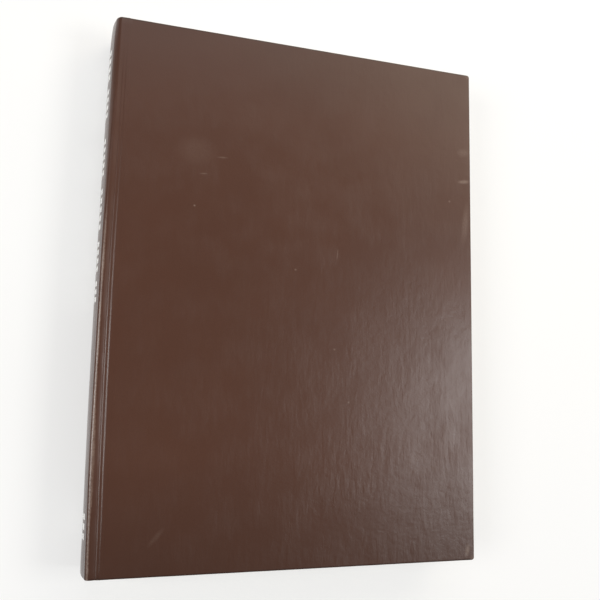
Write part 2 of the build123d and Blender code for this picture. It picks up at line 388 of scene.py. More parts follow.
def leatherette_material(name="embossed_leatherette", marked=False):
    """Leatherette: paper coated with dyed acrylic and embossed with a grain. It has a soft, broad gloss."""
    if name in bpy.data.materials:
        return bpy.data.materials[name]
    settings = bpy.context.scene.book_leather
    material, shader, where, add = new_material(name, 0.35, settings.colour)
    # How rubbed each point is, with a painted highlight along the spine's ridge
    wear = add("ShaderNodeAttribute", {"attribute_name": "wear"}).outputs["Fac"]
    place = add("ShaderNodeSeparateXYZ", None, where)

    # Pebbled grain at the set spacing, and short streaks along the height, which come and go in patches
    pebble = add("ShaderNodeTexVoronoi", {"feature": "SMOOTH_F1"}, where, 1 / settings.grain, Smoothness=0.6)
    stretch = add("ShaderNodeMapping", None, where, Scale=(1.0, 0.24, 1.0))
    fibre = add("ShaderNodeTexNoise", None, stretch, pattern_scale(2.6), 2.0, 0.5, Distortion=0.3)
    patch = add("ShaderNodeTexNoise", None, where, pattern_scale(18), 3.0)
    amount = add("ShaderNodeMapRange", None, patch, 0.35, 0.65, 0.15, 1.0)
    streak = add("ShaderNodeMath", "MULTIPLY", fibre, amount)
    peel = add("ShaderNodeTexNoise", None, where, pattern_scale(4), 2.0, Distortion=0.6)
    cloud = add("ShaderNodeTexNoise", None, where, pattern_scale(50), 4.0)
    fleck = add("ShaderNodeTexNoise", None, where, pattern_scale(0.9), 2.0)

    # Colour: cloudy dye, darker in the grain's valleys, with painted shade toward the head, more toward the
    # tail, and in a thin line along both ends; paler where it is rubbed, and a painted highlight along the
    # spine's ridge
    dark = add("ShaderNodeHueSaturation", Color=(*settings.colour, 1), Value=0.92)
    light = add("ShaderNodeHueSaturation", Color=(*settings.colour, 1), Value=1.08)
    ground = add("ShaderNodeMix", {"data_type": "RGBA"}, cloud, dark, light)
    valley = add("ShaderNodeMapRange", None, pebble, 0.1, 0.7, 1.03, 0.95)
    toned = add("ShaderNodeHueSaturation", Color=ground, Value=valley)
    # Painted shade: the colour darkens toward the head and the tail, and in a thin dark line along the head
    # and tail edges
    head = add("ShaderNodeMapRange", None, place.outputs["Y"], 100 * MM, HALF_COVER * MM, 1.0, 0.86)
    tail = add("ShaderNodeMapRange", None, place.outputs["Y"], -85 * MM, -HALF_COVER * MM, 1.0, 0.74)
    off_middle = add("ShaderNodeMath", "ABSOLUTE", place.outputs["Y"])
    edge_shade_start, edge_shade_end = (HALF_COVER - 1.3) * MM, (HALF_COVER - 0.3) * MM
    fold = add("ShaderNodeMapRange", None, off_middle, edge_shade_start, edge_shade_end, 1.0, 0.66)
    ends = add("ShaderNodeMath", "MULTIPLY", head, tail)
    ends = add("ShaderNodeMath", "MULTIPLY", ends, fold)
    # The ground colour with this painted shade at the ends
    end_shaded = add("ShaderNodeHueSaturation", Color=toned, Value=ends)
    # The worn colour goes where the covering is rubbed, and along the spine's ridge as a painted highlight
    broken = add("ShaderNodeMapRange", None, fleck, 0.3, 0.7, 0.38, 0.62)
    rub = add("ShaderNodeMath", "MULTIPLY", wear, broken)
    rubbed_and_highlit = add("ShaderNodeMapRange", None, rub, 0.22, 0.6, 0.0, 0.75)
    if marked:
        marks = add("ShaderNodeMath", "MULTIPLY", mark_field(add, where, fleck), 0.5)
        rubbed_and_highlit = add("ShaderNodeMath", "MAXIMUM", rubbed_and_highlit, marks)
    colour = add("ShaderNodeMix", {"data_type": "RGBA"}, rubbed_and_highlit, end_shaded, (*settings.rubbed_and_highlit, 1))

    # Gloss: duller along the streaks, and smoother on the spine, which is handled most
    rough = add("ShaderNodeMapRange", None, streak, 0.1, 0.6, 0.29, 0.37)
    spine_side, cover_side = (EDGE_X - 6.0) * MM, (EDGE_X - 4.5) * MM
    handled = add("ShaderNodeMapRange", None, place.outputs["X"], spine_side, cover_side, 0.72, 1.0)
    gloss = add("ShaderNodeMath", "MULTIPLY", rough, handled)

    # Relief, as real heights: the streaks and the wrinkles show more toward the fore-edge and the tail
    fine = add("ShaderNodeBump", {"invert": True}, Height=pebble, Strength=0.15, Distance=0.02 * MM)
    corner = add("ShaderNodeMath", "SUBTRACT", place.outputs["X"], place.outputs["Y"])
    drawn = add("ShaderNodeMapRange", None, corner, -30 * MM, 150 * MM, 0.35, 1.0)
    lines = add("ShaderNodeBump", Height=streak, Strength=drawn, Distance=0.17 * MM, Normal=fine)
    wrinkled = add("ShaderNodeMapRange", None, corner, -50 * MM, 200 * MM, 0.25, 0.8)
    soft = add("ShaderNodeBump", Height=peel, Strength=wrinkled, Distance=0.09 * MM, Normal=lines)
    set_inputs(shader, Base_Color=colour, Roughness=gloss, Specular_IOR_Level=0.4, Normal=soft,
               Coat_Weight=settings.gloss, Coat_Roughness=0.3, Coat_Normal=lines)
    return material


def paper_material(name, colour, rough, fibre, height):
    """Paper: felted fibres of this spacing and height in millimetres, with a slightly uneven tone."""
    if name in bpy.data.materials:
        return bpy.data.materials[name]
    material, shader, where, add = new_material(name, rough, colour)
    felt = add("ShaderNodeTexNoise", None, where, pattern_scale(fibre), 5.0, Distortion=1.2)
    cloud = add("ShaderNodeTexNoise", None, where, pattern_scale(30), 3.0)
    tone = add("ShaderNodeMath", "ADD", felt, cloud)
    value = add("ShaderNodeMapRange", None, tone, 0.6, 1.4, 0.94, 1.04)
    toned = add("ShaderNodeHueSaturation", Color=(*colour, 1), Value=value)
    bump = add("ShaderNodeBump", Height=felt, Strength=0.5, Distance=height * MM)
    set_inputs(shader, Base_Color=toned, Normal=bump)
    return material


def leaves_material():
    """Trimmed leaves: the guillotined edges of coated paper, a little darker between the leaves."""
    if "trimmed_leaves" in bpy.data.materials:
        return bpy.data.materials["trimmed_leaves"]
    colour = bpy.context.scene.book_paper.leaf
    material, shader, where, add = new_material("trimmed_leaves", 0.7, colour)
    # A leaf is 0.12 mm thick. The lines are drawn as coarse as 0.3 mm so that they show.
    squeeze = add("ShaderNodeMapping", None, where, Scale=(0.01, 0.01, 1.0))
    line = add("ShaderNodeTexNoise", None, squeeze, pattern_scale(0.3), 3.0)
    drift = add("ShaderNodeTexNoise", None, where, pattern_scale(20), 2.0)
    value = add("ShaderNodeMapRange", None, line, 0.3, 0.65, 0.8, 1.04)
    toned = add("ShaderNodeHueSaturation", Color=(*colour, 1), Value=value)
    yellowed = add("ShaderNodeMix", {"data_type": "RGBA"}, drift, toned, (*linear("#E8DCC2"), 1))
    bump = add("ShaderNodeBump", Height=line, Strength=0.6, Distance=0.08 * MM)
    set_inputs(shader, Base_Color=yellowed, Normal=bump)
    return material


def woven_material(name, colour, pitch, rough):
    """Woven cotton: crossed threads at this pitch in millimetres, with the slight sheen of loose fibres."""
    if name in bpy.data.materials:
        return bpy.data.materials[name]
    material, shader, where, add = new_material(name, rough, colour)
    scale = WAVE_PERIOD * pattern_scale(pitch)
    threads = []
    for direction in ("Y", "Z"):
        wave = add("ShaderNodeTexWave", {"bands_direction": direction}, where, scale, 0.4)
        threads.append(wave.outputs["Fac"])
    cross = add("ShaderNodeMath", "MAXIMUM", *threads)
    value = add("ShaderNodeMapRange", None, cross, 0.0, 1.0, 0.7, 1.05)
    toned = add("ShaderNodeHueSaturation", Color=(*colour, 1), Value=value)
    bump = add("ShaderNodeBump", Height=cross, Strength=0.7, Distance=0.1 * MM)
    set_inputs(shader, Base_Color=toned, Normal=bump, Sheen_Weight=0.15)
    return material


def foil_material():
    """Hot-stamped metal foil: thin, bright, and slightly broken by the grain under it."""
    material, shader, where, add = new_material("stamped_foil", 0.28, bpy.context.scene.book_foil.colour)
    grain = add("ShaderNodeTexNoise", None, where, pattern_scale(0.8), 3.0)
    rough = add("ShaderNodeMapRange", None, grain, 0.3, 0.7, 0.16, 0.34)
    bump = add("ShaderNodeBump", Height=grain, Strength=0.5, Distance=0.04 * MM)
    # The foil is thin and rubbed, so it scatters part of its light.
    set_inputs(shader, Metallic=0.4, Roughness=rough, Normal=bump)
    return material


# Mesh building


def finish_mesh(name, mesh_maker, material):
    """An object at the origin from a bmesh, with its normals outward and sharp edges kept."""
    mesh_maker.normal_update()
    mesh = bpy.data.meshes.new(name)
    mesh_maker.to_mesh(mesh)
    mesh_maker.free()
    mesh.materials.append(material)
    mesh.shade_smooth()
    mesh.set_sharp_from_angle(angle=math.radians(SHARP_ANGLE))
    piece = bpy.data.objects.new(name, mesh)
    bpy.context.scene.collection.objects.link(piece)
    return piece


def merged_copy(node):
    """A bmesh of a CAD node with its loose triangles joined."""
    maker = bmesh.new()
    maker.from_mesh(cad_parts[node].data)
    bmesh.ops.remove_doubles(maker, verts=maker.verts, dist=WELD)
    return maker


def cut_into_strips(maker, axis, places):
    """Adds cuts across a mesh at these places along an axis, so that it can bend there."""
    normal = [0, 0, 0]
    normal[axis] = 1
    for place in places:
        point = [0, 0, 0]
        point[axis] = place
        everything = maker.verts[:] + maker.edges[:] + maker.faces[:]
        bmesh.ops.bisect_plane(maker, geom=everything, plane_co=point, plane_no=normal, dist=WELD / 4)


def repaint(name, material):
    """Gives a CAD node this material alone."""
    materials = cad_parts[name].data.materials
    materials.clear()
    materials.append(material)


def swept_shell(loops):
    """A closed mesh from like loops of points, with both ends filled."""
    maker = bmesh.new()
    rows = [[maker.verts.new(p) for p in loop] for loop in loops]
    count = len(rows[0])
    for first, second in zip(rows, rows[1:]):
        for i in range(count):
            j = (i + 1) % count
            maker.faces.new((first[i], first[j], second[j], second[i]))
    maker.faces.new(rows[0][::-1])
    maker.faces.new(rows[-1])
    bmesh.ops.recalc_face_normals(maker, faces=maker.faces)
    return maker


def on_back(maker):
    """Turns a front piece into the back one, by mirroring it about the middle of the thickness."""
    for vert in maker.verts:
        vert.co.z = THICKNESS * MM - vert.co.z
    bmesh.ops.reverse_faces(maker, faces=maker.faces)


def uneven(point, size, height, seed):
    """A small smooth unevenness at a place."""
    return height * noise.noise(Vector(point) / size + Vector((seed, seed * 1.7, seed * 0.3)))


# The covering's section


def skin_section():
    """Stations of the covering from the middle of the spine to the board: outer point, inner point."""
    stations = []
    depth = 2 * SHEET + CARD
    for k in range(SPINE_STEPS + 1):
        angle = math.pi - CAP_ANGLE * k / SPINE_STEPS
        way = (math.cos(angle), math.sin(angle))
        outer = (SPINE_X + SPINE_R * way[0], MIDDLE + SPINE_R * way[1])
        stations.append((outer, (outer[0] - depth * way[0], outer[1] - depth * way[1])))
    cap_start = math.pi - CAP_ANGLE
    for k in range(1, RIDGE_STEPS + 1):
        share = k / RIDGE_STEPS
        angle = cap_start + (math.pi / 2 - cap_start) * share
        way = (math.cos(angle), math.sin(angle))
        thick = depth - 2 * share * (depth / 2 - SHEET)
        outer = (CAP_X + CAP * way[0], CAP_Z + CAP * way[1])
        inner = (CAP_X + (CAP - thick) * way[0], CAP_Z + (CAP - thick) * way[1])
        stations.append((outer, inner))
    face = THICKNESS - RIDGE_DROP
    joint = rise(CAP_X, LAP_START, JOINT_STEPS + 1)[1:]
    lap = rise(LAP_START, LAP_END - 0.1, LAP_STEPS + 1)[1:]
    for x in joint + lap:
        stations.append(((x, face), (x, face - lap_depth(x))))
    # The edge of the lap, pressed thin
    stations.append(((LAP_END, THICKNESS - 0.3), (LAP_END, THICKNESS - 0.4)))
    return stations


def lap_depth(x):
    """Thickness of the covering in the joint: doubled by the turn-in, and thin where it laps the board."""
    return 2 * SHEET - (2 * SHEET - LAP) * blend_step(-0.6, LAP_START, x)


def shaped(x, y, z, share=0.0):
    """The spine and joint as they have settled in use, at a share of the covering's depth.

    They lean to the board at the head, where the groove fades.
    """
    settle = bpy.context.scene.book_leather.settle
    side = 1 if z > MIDDLE else -1
    level = abs(z - MIDDLE)
    # The spine's shift turns into the ridge's near the ridge, and less of it reaches the inside
    near_ridge = blend_step(12.0, 14.4, level)
    spine = along(SPINE_SHIFT, y)
    spine += (min(spine, INSIDE_SHIFT) - spine) * min(1.0, share)
    move = spine * (1 - near_ridge) + along(RIDGE_SHIFT, y) * near_ridge
    # The joint has its own shift, which dies out on the board
    off_joint = blend_step(-3.2, -4.8, x)
    move = move * off_joint + along(JOINT_SHIFT, y) * (1 - off_joint) * blend_step(2.1, -0.4, x)
    wave = abs(uneven((x, y, z), size=26.0, height=0.12, seed=3.1)) * blend_step(-1.0, -6.0, x)
    # Between the ridge and the board the covering lies below a straight bridge
    if x > CAP_X and level > 11:
        bridge = (COVER_FACE + LAP_RISE - THICKNESS + RIDGE_DROP) * blend_step(CAP_X, 0.4, x)
        drop = along(JOINT_DROP, x) * (1 + uneven((x, y, 0), size=9.0, height=0.3, seed=8.2))
        z += side * (bridge - drop * (1 + settle * (along(JOINT_DEPTH, y) - 1)))
    return x + settle * move - wave, y, z


def rise(low, high, count):
    """Evenly spaced values from low to high, both included."""
    return [low + (high - low) * k / (count - 1) for k in range(count)]


def end_fold(half, radius, thickness):
    """How the covering turns over its end: places along the height and depths."""
    turn = []
    for k in range(1, END_POINTS):
        angle = math.pi * k / END_POINTS
        turn.append((half - radius + radius * math.sin(angle), thickness * (1 - math.cos(angle)) / 2))
    return turn


def settled(loop, outer, inner):
    """Places along the height and depths in the covering at a station, as settled points in the frame."""
    depth = math.dist(outer, inner)
    points = []
    for y, deep in loop:
        share = deep / depth
        x = outer[0] + (inner[0] - outer[0]) * share
        z = outer[1] + (inner[1] - outer[1]) * share
        points.append(in_frame(*shaped(x, y, z, share)))
    return points


def skin_loop(outer, inner):
    """One loop of the covering in the plane of a station: out along the face, over the ends and back."""
    depth = math.dist(outer, inner)
    radius = min(END_RADIUS, depth / 2)
    sheet = min(SHEET, depth / 2 - CARD_GAP)
    half = HALF_COVER - LAP_SHORT * blend_step(-0.3, 0.9, outer[0])
    face = half - radius
    fold = end_fold(half, radius, depth)
    pocket = half - radius - POCKET_INSET
    turned = HALF_COVER - TURN_IN
    loop = [(y, 0.0) for y in rise(-face, face, FACE_POINTS)]
    loop += fold
    loop += [(y, depth) for y in rise(face, turned, TURN_IN_POINTS)]
    loop += [(turned, depth - sheet), (pocket, depth - sheet)]
    loop += [(y, sheet) for y in rise(pocket, -pocket, POCKET_POINTS)]
    loop += [(-pocket, depth - sheet), (-turned, depth - sheet)]
    loop += [(y, depth) for y in rise(-turned, -face, TURN_IN_POINTS)]
    loop += [(-y, deep) for y, deep in reversed(fold)]
    return settled(loop, outer, inner)


def card_loop(outer, inner, thin):
    """One loop of the card inside the spine, thinner by this much on each face."""
    depth = math.dist(outer, inner)
    top = SHEET + CARD_GAP + thin
    bottom = depth - SHEET - CARD_GAP - thin
    end = HALF_COVER - CARD_SHORT
    loop = [(y, top) for y in rise(-end, end, CARD_POINTS)]
    loop += [(y, bottom) for y in rise(end, -end, CARD_POINTS)]
    return settled(loop, outer, inner)


def mark_wear_and_highlight(piece):
    """Sets how rubbed each point of the covering is: edges, corners and the spine's two ends, and paints a
    highlight along the ridges in the same lighter colour.
    """
    mesh = piece.data
    attribute = mesh.attributes.new("wear", "FLOAT", "POINT")
    values = []
    for vert in mesh.vertices:
        x = vert.co.x / MM - EDGE_X
        y = vert.co.y / MM
        level = abs(vert.co.z / MM - MIDDLE)
        off_end = HALF_COVER - abs(y)
        off_fore = COVER_WIDTH - x
        off_face = MIDDLE - level
        # The edges of the boards, most where they meet a face, and the corners
        arris = 0.45 + 0.55 * (1.0 - min(1.0, off_face / 1.2))
        rim = arris * max(1.0 - min(1.0, off_fore / 0.7), 0.3 - min(0.3, off_end / 2))
        corner = max(0.0, 1.0 - math.hypot(off_end, off_fore) / 6.0)
        spine_end = blend_step(2.5, 0.3, off_end) * 0.6 if x < -2 and level < 11 else 0.0
        # A painted highlight along the ridge, with some real rub: a line that is broader over a stretch near
        # the tail and fades toward the head
        broad = blend_step(-50.0, -80.0, y) * blend_step(-118.0, -98.0, y)
        half_width = 0.95 + 0.45 * broad
        ridge_x = CAP_X - 0.95 + 0.45 * broad + along(RIDGE_SHIFT, y)
        ridge = math.exp(-(((x - ridge_x) / half_width) ** 2)) * blend_step(13.5, 14.6, level)
        patchy = uneven(vert.co / MM, size=14.0, height=0.3, seed=2.2)
        ridge *= 0.3 + 0.65 * blend_step(70.0, 10.0, y) + patchy
        values.append(max(rim * 0.7, corner, spine_end * 0.7, ridge))
    attribute.data.foreach_set("value", values)


def mesh_from_nodes(tree, name, **values):
    """The plain mesh that a geometry node tree makes with these input values."""
    carrier = bpy.data.objects.new("carrier", bpy.data.meshes.new("carrier"))
    bpy.context.scene.collection.objects.link(carrier)
    modifier = carrier.modifiers.new("nodes", "NODES")
    modifier.node_group = tree
    sockets = {s.name: s.identifier for s in tree.interface.items_tree if s.in_out == "INPUT"}
    for key, value in values.items():
        modifier[sockets[key.replace("_", " ")]] = value
    graph = bpy.context.evaluated_depsgraph_get()
    mesh = bpy.data.meshes.new_from_object(carrier.evaluated_get(graph))
    carrier.modifiers.remove(modifier)
    bpy.data.objects.remove(carrier)
    mesh.name = name
    piece = bpy.data.objects.new(name, mesh)
    bpy.context.scene.collection.objects.link(piece)
    return piece


def new_tree(name, **sockets):
    """A geometry node tree with these inputs and one geometry output, add_node for it, and its inputs."""
    tree = bpy.data.node_groups.new(name, "GeometryNodeTree")
    for label, kind in sockets.items():
        tree.interface.new_socket(label.replace("_", " "), in_out="INPUT", socket_type=f"NodeSocket{kind}")
    tree.interface.new_socket("Geometry", in_out="OUTPUT", socket_type="NodeSocketGeometry")
    add = partial(add_node, tree)
    return tree, add, add("NodeGroupInput").outputs


def leaf_tree():
    """Packs of leaves: one thin sheet, repeated up the thickness, fanned at the shoulders and rounded."""
    tree, add, inp = new_tree("leaf_packs", Count="Int", Pitch="Float", Bottom="Float", Middle="Float",
                              Width="Float", Height="Float", Fore_edge="Float", Radius="Float", Fan="Float",
                              Joint="Float", Slope="Float", Stray="Float", Seed="Int", Material="Material")
    start_place = add("ShaderNodeCombineXYZ", Z=inp["Bottom"])
    step = add("ShaderNodeCombineXYZ", Z=inp["Pitch"])
    line = add("GeometryNodeMeshLine", None, inp["Count"], start_place, step)

    # One leaf, as a box whose cuts along its width crowd toward the spine
    thick = add("ShaderNodeMath", "MULTIPLY", inp["Pitch"], PACK_SHARE)
    size = add("ShaderNodeCombineXYZ", None, 1.0, inp["Height"], thick)
    leaf = add("GeometryNodeMeshCube", None, size, LEAF_CUTS)
    local = add("ShaderNodeSeparateXYZ", None, add("GeometryNodeInputPosition"))
    evenly = add("ShaderNodeMath", "ADD", local.outputs["X"], 0.5)
    crowded = add("ShaderNodeMath", "POWER", evenly, 3.0)
    off_edge = add("ShaderNodeMath", "SUBTRACT", crowded, 1.0)
    inward = add("ShaderNodeMath", "MULTIPLY", off_edge, inp["Width"])
    x = add("ShaderNodeMath", "ADD", inward, inp["Fore edge"])
    spread = add("ShaderNodeCombineXYZ", None, x, local.outputs["Y"], local.outputs["Z"])
    wide = add("GeometryNodeSetPosition", None, leaf, Position=spread)

    # Packs lie off the trimmed face by chance, and less far outward than inward
    inmost = add("ShaderNodeVectorMath", "SCALE", (-1, -1, 0), inp["Stray"])
    outmost = add("ShaderNodeVectorMath", "SCALE", (0.6, 1, 0), inp["Stray"])
    stray = add("FunctionNodeRandomValue", {"data_type": "FLOAT_VECTOR"}, inmost, outmost, Seed=inp["Seed"])
    shifted = add("GeometryNodeSetPosition", None, line, Offset=stray)
    packs = add("GeometryNodeInstanceOnPoints", None, shifted, Instance=wide)
    real = add("GeometryNodeRealizeInstances", None, packs)

    # Every leaf moves in by the round of the spine at its level
    place = add("ShaderNodeSeparateXYZ", None, add("GeometryNodeInputPosition"))
    level = add("ShaderNodeMath", "SUBTRACT", place.outputs["Z"], inp["Middle"])
    fanned = add("ShaderNodeMath", "MULTIPLY", level, inp["Fan"])
    whole = add("ShaderNodeMath", "MULTIPLY", inp["Radius"], inp["Radius"])
    part = add("ShaderNodeMath", "MULTIPLY", fanned, fanned)
    left = add("ShaderNodeMath", "SUBTRACT", whole, part)
    arc = add("ShaderNodeMath", "SQRT", left)
    shift = add("ShaderNodeMath", "SUBTRACT", inp["Radius"], arc)

    # Past the joint it bends outward to the shoulder, the more the nearer it is to a cover
    beyond = add("ShaderNodeMath", "SUBTRACT", inp["Joint"], place.outputs["X"])
    past = add("ShaderNodeMath", "MAXIMUM", beyond, 0.0)
    squared = add("ShaderNodeMath", "MULTIPLY", past, past)
    rounded = add("ShaderNodeMath", "ADD", squared, (LEAF_BEND * MM) ** 2)
    curve = add("ShaderNodeMath", "SQRT", rounded)
    bent = add("ShaderNodeMath", "SUBTRACT", curve, LEAF_BEND * MM)
    lift = add("ShaderNodeMath", "MULTIPLY", bent, inp["Slope"])
    height = add("ShaderNodeMath", "MULTIPLY", inp["Count"], inp["Pitch"])
    half = add("ShaderNodeMath", "MULTIPLY", height, 0.5)
    nearness = add("ShaderNodeMath", "DIVIDE", level, half)
    raised = add("ShaderNodeMath", "MULTIPLY", lift, nearness)
    move = add("ShaderNodeCombineXYZ", X=shift, Z=raised)
    shaped_packs = add("GeometryNodeSetPosition", None, real, Offset=move)
    painted = add("GeometryNodeSetMaterial", None, shaped_packs, Material=inp["Material"])
    add("NodeGroupOutput", None, painted)
    return tree


def thread_tree():
    """Turns of thread round the bead of a headband, along its arc."""
    tree, add, inp = new_tree("thread_turns", Count="Int", Path_radius="Float", Half_angle="Float",
                              Bead_radius="Float", Thread_radius="Float", Material="Material")
    low = add("ShaderNodeMath", "SUBTRACT", math.pi, inp["Half angle"])
    sweep = add("ShaderNodeMath", "MULTIPLY", inp["Half angle"], 2.0)
    arc = add("GeometryNodeCurveArc", None, inp["Count"], inp["Path radius"], low, sweep)
    ring = add("GeometryNodeCurvePrimitiveCircle", None, 14, inp["Bead radius"])
    thread = add("GeometryNodeCurvePrimitiveCircle", None, 6, inp["Thread radius"])
    turn = add("GeometryNodeCurveToMesh", None, ring, thread)
    points = add("GeometryNodeCurveToPoints", {"mode": "EVALUATED"}, arc)
    facing = points.outputs["Rotation"]
    turns = add("GeometryNodeInstanceOnPoints", None, points, Instance=turn, Rotation=facing)
    real = add("GeometryNodeRealizeInstances", None, turns)
    smooth = add("GeometryNodeSetShadeSmooth", None, real)
    painted = add("GeometryNodeSetMaterial", None, smooth, Material=inp["Material"])
    add("NodeGroupOutput", None, painted)
    return tree


def bar_tree():
    """Stamped bars: a row of short dashes over plain rows, each a thin plate that is repeated."""
    tree, add, inp = new_tree("stamped_bars", Rows="Int", Row_pitch="Float", Length="Float", Dashes="Int",
                              Dash_share="Float", Width="Float", Thickness="Float", Centre="Vector",
                              Material="Material")
    below = add("ShaderNodeMath", "MULTIPLY", inp["Row pitch"], -1.0)
    low = add("ShaderNodeCombineXYZ", Z=below)
    up = add("ShaderNodeCombineXYZ", Z=inp["Row pitch"])
    rows = plate_line(add, inp, inp["Length"], BAR_CUTS, low, inp["Rows"], up)
    pitch = add("ShaderNodeMath", "DIVIDE", inp["Length"], inp["Dashes"])
    spare = add("ShaderNodeMath", "SUBTRACT", pitch, inp["Length"])
    first = add("ShaderNodeMath", "MULTIPLY", spare, 0.5)
    dash = add("ShaderNodeMath", "MULTIPLY", pitch, inp["Dash share"])
    high = add("ShaderNodeCombineXYZ", Y=first, Z=inp["Row pitch"])
    along_height = add("ShaderNodeCombineXYZ", Y=pitch)
    dashes = plate_line(add, inp, dash, DASH_CUTS, high, inp["Dashes"], along_height)
    both = add("GeometryNodeJoinGeometry", None, rows)
    set_inputs(both, dashes)
    real = add("GeometryNodeRealizeInstances", None, both)
    painted = add("GeometryNodeSetMaterial", None, real, Material=inp["Material"])
    add("NodeGroupOutput", None, painted)
    return tree


def plate_line(add, inp, length, cuts, first, count, step):
    """Copies of one thin plate in a line, from a first place off the centre."""
    size = add("ShaderNodeCombineXYZ", None, inp["Thickness"], length, inp["Width"])
    plate = add("GeometryNodeMeshCube", None, size, Vertices_Y=cuts, Vertices_Z=PLATE_CUTS)
    start_place = add("ShaderNodeVectorMath", "ADD", inp["Centre"], first)
    line = add("GeometryNodeMeshLine", None, count, start_place, step)
    return add("GeometryNodeInstanceOnPoints", None, line, Instance=plate)


# Operators, one for each group of like pieces


class BOOK_OT_covers(bpy.types.Operator):
    """Makes the leatherette of both cover boards, with softened edges and turned-in sides"""

    bl_idname = "book.covers"
    bl_label = "Cover leatherette"

    def execute(self, context):
        plain = leatherette_material()
        scuffed = leatherette_material("scuffed_leatherette", True)
        across = [(EDGE_X + x) * MM for x in rise(CUT_MARGIN, COVER_WIDTH - CUT_MARGIN, 40)]
        upward = [y * MM for y in rise(CUT_MARGIN - HALF_COVER, HALF_COVER - CUT_MARGIN, 56)]
        for side, material in (("front", scuffed), ("back", plain)):
            maker = merged_copy("front_leatherette")
            cut_into_strips(maker, 0, across)
            cut_into_strips(maker, 1, upward)
            for vert in maker.verts:
                self.soften(vert)
            if side == "back":
                on_back(maker)
            piece = finish_mesh(f"{side}_cover_covering", maker, material)
            mark_wear_and_highlight(piece)
            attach(piece, f"{side}_cover")
            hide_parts(f"{side}_leatherette")
        return {"FINISHED"}

    def soften(self, vert):
        """Gives the sheet and its rims the slight waviness of glued covering, which fades near the joint."""
        x = vert.co.x / MM - EDGE_X
        y = vert.co.y / MM
        free = blend_step(0.5, 8.0, x)
        wave = uneven((x, y, 0), size=34.0, height=0.05, seed=1.3) * free
        if vert.co.z / MM > THICKNESS - 0.6:
            vert.co.z += (min(0.0, wave) + COVER_FACE - THICKNESS) * MM
        rim = uneven((x, y, 0), size=9.0, height=0.07, seed=5.2) * free
        vert.co.y -= math.copysign(abs(rim), y) * MM if abs(y) > HALF_COVER - 1.2 else 0.0
        vert.co.x -= abs(rim) * MM if x > COVER_WIDTH - 1.2 else 0.0


class BOOK_OT_spine(bpy.types.Operator):
    """Makes the covering and the card of the rounded spine, in two halves"""

    bl_idname = "book.spine"
    bl_label = "Spine and joints"

    def execute(self, context):
        leather = leatherette_material()
        card = paper_material("grey_card", linear("#8F897D"), 0.85, 0.8, 0.04)
        stations = skin_section()
        tip = stations[SPINE_STEPS + CARD_REACH]
        for side in ("front", "back"):
            maker = swept_shell([skin_loop(*station) for station in stations])
            if side == "back":
                on_back(maker)
            piece = finish_mesh(f"{side}_spine_covering", maker, leather)
            mark_wear_and_highlight(piece)
            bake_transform(piece)
            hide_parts("spine_leatherette", f"{side}_joint_leatherette")
            loops = [card_loop(*station, 0.0) for station in stations[: SPINE_STEPS + 1]]
            maker = swept_shell([*loops, card_loop(*tip, CARD_TAPER)])
            if side == "back":
                on_back(maker)
            piece = finish_mesh(f"{side}_spine_card", maker, card)
            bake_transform(piece)
            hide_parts("spine_inlay")
        return {"FINISHED"}


class BOOK_OT_foil(bpy.types.Operator):
    """Stamps rows of plain foil dashes and bars on the spine"""

    bl_idname = "book.foil"
    bl_label = "Stamped bars"

    def execute(self, context):
        settings = context.scene.book_foil
        material = foil_material()
        tree = bar_tree()
        for number, (centre, length) in enumerate(STAMPS, 1):
            piece = mesh_from_nodes(
                tree, f"bars_{number}", Rows=STAMP_ROWS, Row_pitch=settings.width + STAMP_GAP * MM,
                Length=length * MM, Dashes=round(length / DASH_PITCH), Dash_share=DASH_SHARE,
                Width=settings.width, Thickness=FOIL * MM, Centre=(0.0, centre * MM, MIDDLE * MM),
                Material=material)
            for vert in piece.data.vertices:
                lift = vert.co.x / MM
                y = vert.co.y / MM
                z = vert.co.z / MM
                radius = SPINE_R + FOIL / 2 + lift
                x = SPINE_X - math.sqrt(radius**2 - (z - MIDDLE) ** 2)
                vert.co = in_frame(*shaped(x, y, z))
            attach(piece, "text_block")
        return {"FINISHED"}


class BOOK_OT_endpapers(bpy.types.Operator):
    """Makes the endpapers and the gauze in the joints, cut into strips, and finishes the pasted halves"""

    bl_idname = "book.endpapers"
    bl_label = "Endpapers"

    def execute(self, context):
        paper = paper_material("uncoated_endpaper", context.scene.book_paper.endpaper, 0.8, 1.2, 0.03)
        gauze = woven_material("starched_gauze", linear("#DAD7CC"), 0.9, 0.9)
        across = [(EDGE_X + x) * MM for x in rise(-4.8, 0.2, 26)]
        upward = [y * MM for y in rise(-130, 130, 14)]
        for side in ("front", "back"):
            strips = (("joint_endpaper", paper, "endpaper"), ("joint_mull", gauze, "gauze"))
            for part, material, name in strips:
                maker = merged_copy(f"{side}_{part}")
                cut_into_strips(maker, 0, across)
                cut_into_strips(maker, 1, upward)
                piece = finish_mesh(f"{side}_{part}_bend", maker, material)
                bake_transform(piece)
                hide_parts(f"{side}_{part}")
            for part, material in (("pastedown", paper), ("flyleaf", paper), ("mull_flange", gauze)):
                repaint(f"{side}_{part}", material)
        return {"FINISHED"}


